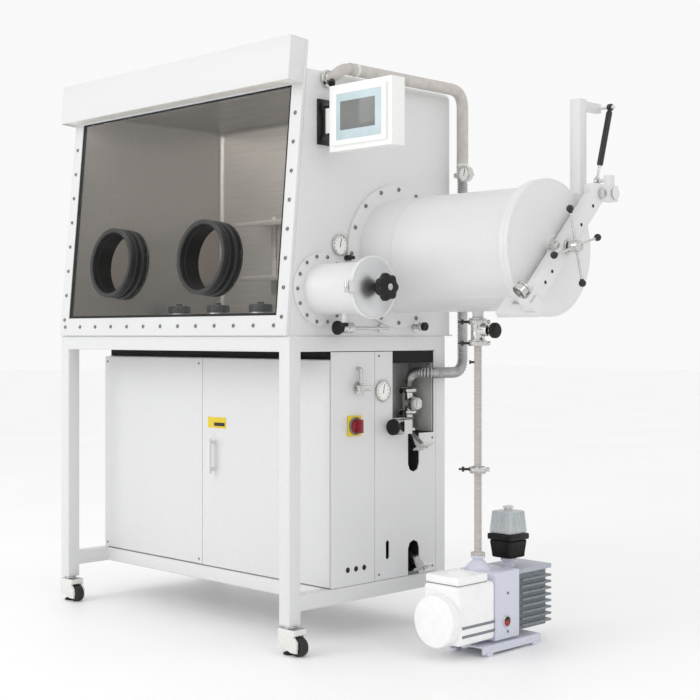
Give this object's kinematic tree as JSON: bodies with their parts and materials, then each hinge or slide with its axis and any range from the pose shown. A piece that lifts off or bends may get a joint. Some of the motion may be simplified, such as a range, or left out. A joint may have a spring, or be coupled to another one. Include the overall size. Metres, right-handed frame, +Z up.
{
  "type": "laboratory glove box",
  "caption": "Free-standing laboratory glove box: leaning window with glove ports, transfer antechambers with doors, purifier cabinet, castored stand and vacuum pump.",
  "frame": {"origin": "on the floor, at the middle of the footprint of stand, antechambers and pump", "axes": "+X to the operator's right, towards the antechambers; +Y to the rear; +Z up"},
  "size_m": [1.958, 0.8478, 1.8679],
  "materials": {
    "white_coat": "white powder coat, smooth satin",
    "brushed_stainless": "brushed stainless steel",
    "black_plastic": "black moulded plastic",
    "black_rubber": "matt black rubber",
    "clear_glazing": "clear glazing",
    "white_plastic": "white moulded plastic",
    "pipe_insulation": "grey-beige foam pipe sleeve",
    "grey_casting": "grey painted casting",
    "pale_casting": "pale lilac-grey painted casting",
    "red_plastic": "dark red moulded plastic"
  },
  "bodies": {
    "frame": {"stand_frame": "white_coat", "chamber_roof": "white_coat", "chamber_rear_wall": "white_coat", "chamber_left_wall": "white_coat", "chamber_right_wall": "white_coat", "window_frame": "white_coat", "lamp_hood": "white_coat", "large_antechamber_tube": "white_coat", "door_lift_post": "white_coat", "small_antechamber_tube": "white_coat", "cabinet_shell": "white_coat", "cabinet_left_panel": "white_coat", "side_panel_front": "white_coat", "side_panel_rear": "white_coat", "pump_motor": "white_coat", "chamber_floor": "brushed_stainless", "shelf_rack": "brushed_stainless", "purge_line_valve": "brushed_stainless", "pump_line_valve": "brushed_stainless", "purifier_column_left": "brushed_stainless", "purifier_column_right": "brushed_stainless", "valve_stack": "brushed_stainless", "circulation_hose": "brushed_stainless", "glove_port_left": "black_plastic", "glove_port_right": "black_plastic", "panel_bracket": "black_plastic", "exhaust_filter_bowl": "black_plastic", "window_gasket": "black_rubber", "window_glass": "clear_glazing", "exhaust_filter_cover": "clear_glazing", "gas_pipe": "pipe_insulation", "pump_line": "pipe_insulation", "pump_oil_case": "grey_casting", "pump_body": "pale_casting"},
    "caster_front_left": {"caster_housing_front_left": "white_plastic"},
    "wheel_front_left": {"caster_wheel_front_left": "black_plastic"},
    "caster_front_right": {"caster_housing_front_right": "white_plastic"},
    "wheel_front_right": {"caster_wheel_front_right": "black_plastic"},
    "caster_rear_left": {"caster_housing_rear_left": "white_plastic"},
    "wheel_rear_left": {"caster_wheel_rear_left": "black_plastic"},
    "caster_rear_right": {"caster_housing_rear_right": "white_plastic"},
    "wheel_rear_right": {"caster_wheel_rear_right": "black_plastic"},
    "swing_arm": {"door_swing_arm": "white_coat"},
    "large_door": {"large_outer_door": "white_coat"},
    "handwheel": {"door_handwheel": "black_plastic"},
    "spring_cylinder": {"gas_spring_cylinder": "black_plastic"},
    "spring_rod": {"gas_spring_rod": "brushed_stainless"},
    "large_inner_door": {"large_inner_door": "brushed_stainless"},
    "tray": {"large_sliding_tray": "brushed_stainless"},
    "small_door": {"small_outer_door": "brushed_stainless"},
    "small_knob": {"small_door_knob": "black_plastic"},
    "small_inner_door": {"small_inner_door": "brushed_stainless"},
    "panel": {"control_panel": "white_plastic"},
    "purge_knob": {"purge_line_knob": "black_plastic"},
    "pump_valve_knob": {"pump_line_knob": "black_plastic"},
    "stack_knob": {"stack_star_knob": "black_plastic"},
    "main_switch": {"main_switch_knob": "red_plastic"},
    "cabinet_door": {"cabinet_door": "white_coat"},
    "pedal_lower": {"foot_pedal_lower": "brushed_stainless"},
    "pedal_upper": {"foot_pedal_upper": "brushed_stainless"}
  },
  "joints": [
    {"name": "caster_swivel_front_left", "type": "hinge", "parent": "frame", "child": "caster_front_left", "pos_m": [-0.953, -0.34414, 0.087], "axis": [0, 0, 1], "continuous": true},
    {"name": "wheel_roll_front_left", "type": "hinge", "parent": "caster_front_left", "child": "wheel_front_left", "pos_m": [-0.911, -0.34414, 0.028], "axis": [0, 1, 0], "continuous": true},
    {"name": "caster_swivel_front_right", "type": "hinge", "parent": "frame", "child": "caster_front_right", "pos_m": [0.235, -0.34414, 0.087], "axis": [0, 0, 1], "continuous": true},
    {"name": "wheel_roll_front_right", "type": "hinge", "parent": "caster_front_right", "child": "wheel_front_right", "pos_m": [0.277, -0.34414, 0.028], "axis": [0, 1, 0], "continuous": true},
    {"name": "caster_swivel_rear_left", "type": "hinge", "parent": "frame", "child": "caster_rear_left", "pos_m": [-0.953, 0.31586, 0.087], "axis": [0, 0, 1], "continuous": true},
    {"name": "wheel_roll_rear_left", "type": "hinge", "parent": "caster_rear_left", "child": "wheel_rear_left", "pos_m": [-0.911, 0.31586, 0.028], "axis": [0, 1, 0], "continuous": true},
    {"name": "caster_swivel_rear_right", "type": "hinge", "parent": "frame", "child": "caster_rear_right", "pos_m": [0.235, 0.31586, 0.087], "axis": [0, 0, 1], "continuous": true},
    {"name": "wheel_roll_rear_right", "type": "hinge", "parent": "caster_rear_right", "child": "wheel_rear_right", "pos_m": [0.277, 0.31586, 0.028], "axis": [0, 1, 0], "continuous": true},
    {"name": "door_swing", "type": "hinge", "parent": "frame", "child": "swing_arm", "pos_m": [0.889, 0.33686, 1.389], "axis": [-1, 0, 0], "range_deg": [0, 90]},
    {"name": "handwheel_turn", "type": "hinge", "parent": "swing_arm", "child": "handwheel", "pos_m": [0.963, 0.10386, 1.218], "axis": [1, 0, 0], "range_deg": [0, 720]},
    {"name": "large_door_unseat", "type": "slide", "parent": "swing_arm", "child": "large_door", "axis": [1, 0, 0], "range_m": [0, 0.006]},
    {"name": "gas_spring_tilt", "type": "hinge", "parent": "frame", "child": "spring_cylinder", "pos_m": [0.871, 0.40986, 1.664], "axis": [1, 0, 0], "range_deg": [0, 10.6]},
    {"name": "gas_spring_extend", "type": "slide", "parent": "spring_cylinder", "child": "spring_rod", "axis": [0, -0.2915, -0.9566], "range_m": [0, 0.0352]},
    {"name": "large_inner_door_swing", "type": "hinge", "parent": "frame", "child": "large_inner_door", "pos_m": [0.219, -0.09814, 1.218], "axis": [0, 0, 1], "range_deg": [0, 90]},
    {"name": "tray_slide", "type": "slide", "parent": "frame", "child": "tray", "axis": [1, 0, 0], "range_m": [-0.03, 0.12]},
    {"name": "small_door_swing", "type": "hinge", "parent": "frame", "child": "small_door", "pos_m": [0.485, -0.34914, 1.103], "axis": [0, 0, -1], "range_deg": [0, 110]},
    {"name": "small_knob_turn", "type": "hinge", "parent": "small_door", "child": "small_knob", "pos_m": [0.521, -0.23614, 1.103], "axis": [1, 0, 0], "range_deg": [0, 720]},
    {"name": "small_inner_door_swing", "type": "hinge", "parent": "frame", "child": "small_inner_door", "pos_m": [0.219, -0.14014, 1.103], "axis": [0, 0, -1], "range_deg": [0, 90]},
    {"name": "panel_swivel", "type": "hinge", "parent": "frame", "child": "panel", "pos_m": [0.285, -0.22214, 1.616], "axis": [0, 0, 1], "range_deg": [-60, 60]},
    {"name": "purge_knob_turn", "type": "hinge", "parent": "frame", "child": "purge_knob", "pos_m": [0.301, -0.20414, 0.985], "axis": [0, -1, 0], "range_deg": [0, 360]},
    {"name": "pump_valve_knob_turn", "type": "hinge", "parent": "frame", "child": "pump_valve_knob", "pos_m": [0.661, 0.10386, 0.977], "axis": [1, 0, 0], "range_deg": [0, 360]},
    {"name": "stack_knob_turn", "type": "hinge", "parent": "frame", "child": "stack_knob", "pos_m": [0.289, 0.05586, 0.668], "axis": [0, -1, 0], "range_deg": [0, 360]},
    {"name": "main_switch_turn", "type": "hinge", "parent": "frame", "child": "main_switch", "pos_m": [0.271, -0.09414, 0.678], "axis": [1, 0, 0], "range_deg": [0, 90]},
    {"name": "cabinet_door_swing", "type": "hinge", "parent": "frame", "child": "cabinet_door", "pos_m": [0.253, -0.19614, 0.53], "axis": [0, 0, 1], "range_deg": [0, 65]},
    {"name": "pedal_press_lower", "type": "hinge", "parent": "frame", "child": "pedal_lower", "pos_m": [0.201, 0.18386, 0.264], "axis": [0, 1, 0], "range_deg": [0, 12], "stiffness_Nm_per_rad": 20, "springref_deg": -8.59},
    {"name": "pedal_press_upper", "type": "hinge", "parent": "frame", "child": "pedal_upper", "pos_m": [0.201, 0.18386, 0.657], "axis": [0, 1, 0], "range_deg": [0, 12], "stiffness_Nm_per_rad": 20, "springref_deg": -8.59}
  ],
  "couplings": [
    {"joint": "handwheel_turn", "follows": "large_door_unseat", "rad_per_m": 2094.4},
    {"joint": "gas_spring_tilt", "follows": "door_swing", "ratio": 0.11734},
    {"joint": "gas_spring_extend", "follows": "door_swing", "m_per_rad": 0.022377}
  ]
}
